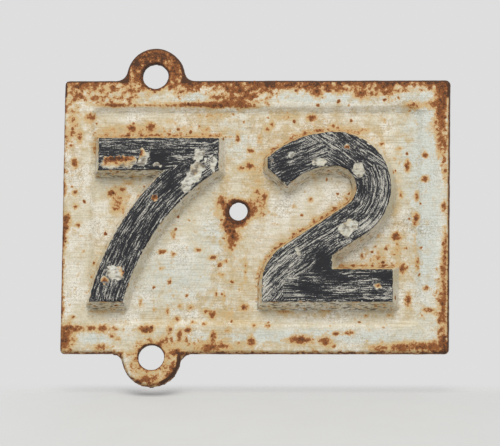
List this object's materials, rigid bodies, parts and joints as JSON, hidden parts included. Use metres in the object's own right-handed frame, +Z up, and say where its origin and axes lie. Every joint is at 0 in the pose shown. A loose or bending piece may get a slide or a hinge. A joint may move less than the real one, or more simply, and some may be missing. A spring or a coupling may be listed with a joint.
{
  "type": "railway mile marker",
  "caption": "Lugged cast iron plate with a sunk panel and raised painted numerals, bolted up beside a track to show a distance.",
  "frame": {"origin": "centre of the hole through the panel, at the plate's flat back face", "axes": "+Z up the plate as it hangs, +X to the right as a reader sees it, -Y out of the numbered front"},
  "size_m": [0.305, 0.0168, 0.2724],
  "materials": {
    "aged_white_paint": "brushed off-white oil paint, aged, chipped and rust stained, over rough sand-cast iron",
    "worn_black_paint": "brushed black paint, satin, streaked and chipped through to the white below"
  },
  "bodies": {
    "root": {"backplate": "aged_white_paint", "numeral_7": "aged_white_paint", "numeral_2": "aged_white_paint", "numeral_7_face_paint": "worn_black_paint", "numeral_2_face_paint": "worn_black_paint"}
  },
  "joints": []
}
